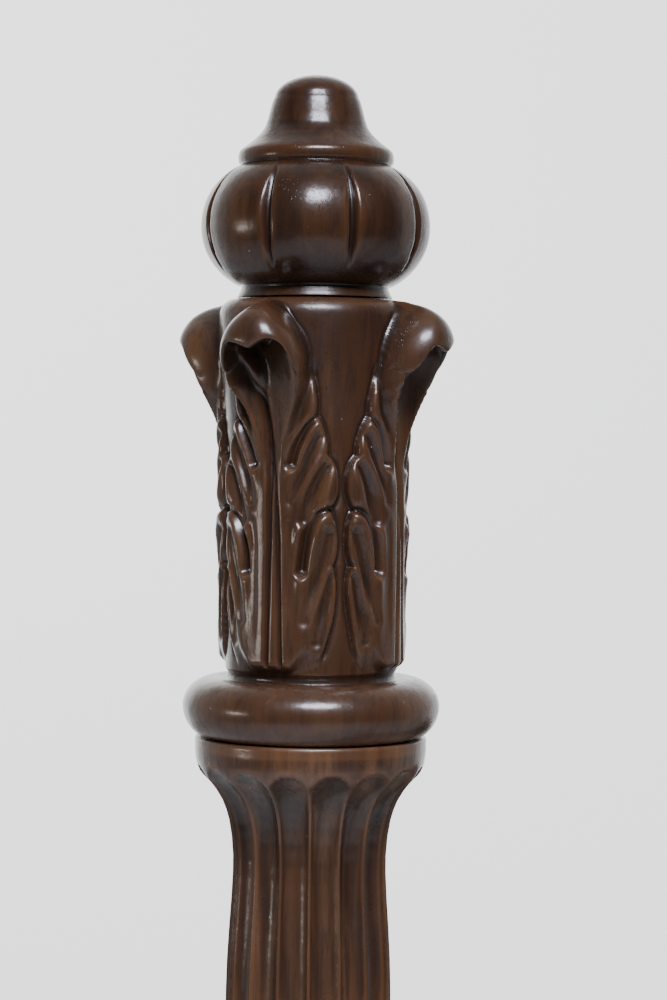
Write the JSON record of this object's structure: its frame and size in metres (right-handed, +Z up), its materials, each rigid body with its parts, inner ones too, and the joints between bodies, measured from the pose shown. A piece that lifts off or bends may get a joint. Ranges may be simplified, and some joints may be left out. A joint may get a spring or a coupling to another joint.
{
  "type": "miniature four poster bed",
  "caption": "Small open four poster bed with leaf-carved capitals, slit melon finials, fluted shafts, shaped head and foot boards and bolted side rails that carry slats.",
  "frame": {"origin": "on the floor under the middle of the bed, at the bottom centre of its box", "axes": "+Z up, +Y towards the head end along the bed, +X across it to the right seen from the foot"},
  "size_m": [0.5694, 1.0694, 0.96],
  "materials": {
    "mahogany": "dark red-brown stain under semi-gloss lacquer, worn lighter on the carved ridges",
    "slat_wood": "bare planed softwood",
    "brass": "lacquered, slightly aged",
    "steel": "oiled",
    "felt": "dense brown felt"
  },
  "bodies": {
    "frame": {"lower_post_foot_left": "mahogany", "fluted_shaft_foot_left": "mahogany", "glide_foot_left": "felt", "bed_bolt_foot_left": "steel", "bolt_nut_foot_left": "steel", "cover_pin_foot_left": "brass", "lower_post_foot_right": "mahogany", "fluted_shaft_foot_right": "mahogany", "glide_foot_right": "felt", "bed_bolt_foot_right": "steel", "bolt_nut_foot_right": "steel", "cover_pin_foot_right": "brass", "lower_post_head_left": "mahogany", "fluted_shaft_head_left": "mahogany", "glide_head_left": "felt", "bed_bolt_head_left": "steel", "bolt_nut_head_left": "steel", "cover_pin_head_left": "brass", "lower_post_head_right": "mahogany", "fluted_shaft_head_right": "mahogany", "glide_head_right": "felt", "bed_bolt_head_right": "steel", "bolt_nut_head_right": "steel", "cover_pin_head_right": "brass", "side_rail_left": "mahogany", "side_rail_right": "mahogany", "slat_ledger_left": "mahogany", "slat_ledger_right": "mahogany", "head_cross_rail": "mahogany", "foot_cross_rail": "mahogany", "headboard_panel": "mahogany", "footboard_panel": "mahogany", "headboard_cap_moulding": "mahogany", "footboard_cap_moulding": "mahogany", "slat_1": "slat_wood", "slat_2": "slat_wood", "slat_3": "slat_wood", "slat_4": "slat_wood", "slat_5": "slat_wood", "slat_6": "slat_wood", "slat_7": "slat_wood", "slat_8": "slat_wood"},
    "post_top_foot_left": {"leaf_capital_foot_left": "mahogany", "finial_foot_left": "mahogany", "capital_pin_foot_left": "mahogany"},
    "cover_foot_left": {"bolt_cover_foot_left": "brass"},
    "post_top_foot_right": {"leaf_capital_foot_right": "mahogany", "finial_foot_right": "mahogany", "capital_pin_foot_right": "mahogany"},
    "cover_foot_right": {"bolt_cover_foot_right": "brass"},
    "post_top_head_left": {"leaf_capital_head_left": "mahogany", "finial_head_left": "mahogany", "capital_pin_head_left": "mahogany"},
    "cover_head_left": {"bolt_cover_head_left": "brass"},
    "post_top_head_right": {"leaf_capital_head_right": "mahogany", "finial_head_right": "mahogany", "capital_pin_head_right": "mahogany"},
    "cover_head_right": {"bolt_cover_head_right": "brass"}
  },
  "joints": [
    {"name": "post_top_lift_foot_left", "type": "slide", "parent": "frame", "child": "post_top_foot_left", "axis": [0, 0, 1], "range_m": [0, 0.06]},
    {"name": "post_top_lift_foot_right", "type": "slide", "parent": "frame", "child": "post_top_foot_right", "axis": [0, 0, 1], "range_m": [0, 0.06]},
    {"name": "post_top_lift_head_left", "type": "slide", "parent": "frame", "child": "post_top_head_left", "axis": [0, 0, 1], "range_m": [0, 0.06]},
    {"name": "post_top_lift_head_right", "type": "slide", "parent": "frame", "child": "post_top_head_right", "axis": [0, 0, 1], "range_m": [0, 0.06]},
    {"name": "cover_swing_foot_left", "type": "hinge", "parent": "frame", "child": "cover_foot_left", "pos_m": [-0.25, -0.5289, 0.1645], "axis": [0, 1, 0], "range_deg": [-110, 110]},
    {"name": "cover_swing_foot_right", "type": "hinge", "parent": "frame", "child": "cover_foot_right", "pos_m": [0.25, -0.5289, 0.1645], "axis": [0, 1, 0], "range_deg": [-110, 110]},
    {"name": "cover_swing_head_left", "type": "hinge", "parent": "frame", "child": "cover_head_left", "pos_m": [-0.25, 0.5289, 0.1645], "axis": [0, 1, 0], "range_deg": [-110, 110]},
    {"name": "cover_swing_head_right", "type": "hinge", "parent": "frame", "child": "cover_head_right", "pos_m": [0.25, 0.5289, 0.1645], "axis": [0, 1, 0], "range_deg": [-110, 110]}
  ]
}
